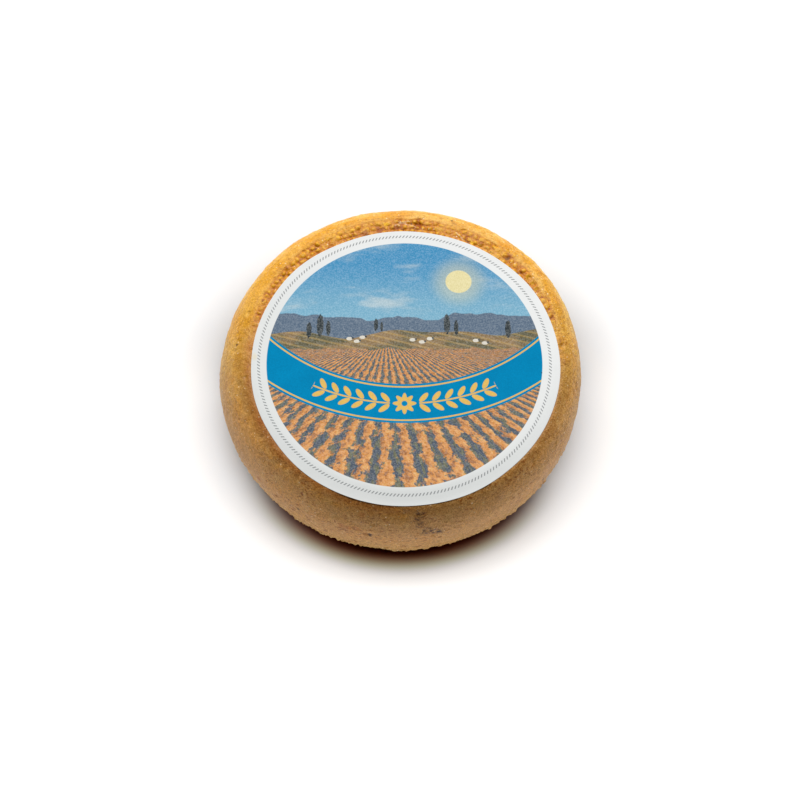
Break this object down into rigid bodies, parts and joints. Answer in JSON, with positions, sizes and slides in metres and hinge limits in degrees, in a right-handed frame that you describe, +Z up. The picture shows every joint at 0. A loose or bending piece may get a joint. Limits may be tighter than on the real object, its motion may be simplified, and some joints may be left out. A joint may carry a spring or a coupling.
{
  "type": "aged pecorino cheese wheel",
  "caption": "Whole round wheel of aged sheep's cheese with a bulging golden rind, a ring of mould imprint on top and a round paper label.",
  "frame": {"origin": "middle of the wheel's outline, on the surface it rests on", "axes": "+Z up through the label, -Y towards the side that faces the viewer, +X to the viewer's right"},
  "size_m": [0.1804, 0.1802, 0.0527],
  "materials": {
    "rind": "satin",
    "label_paper": "satin"
  },
  "bodies": {
    "root": {"cheese_wheel": "rind", "label": "label_paper"}
  },
  "joints": []
}
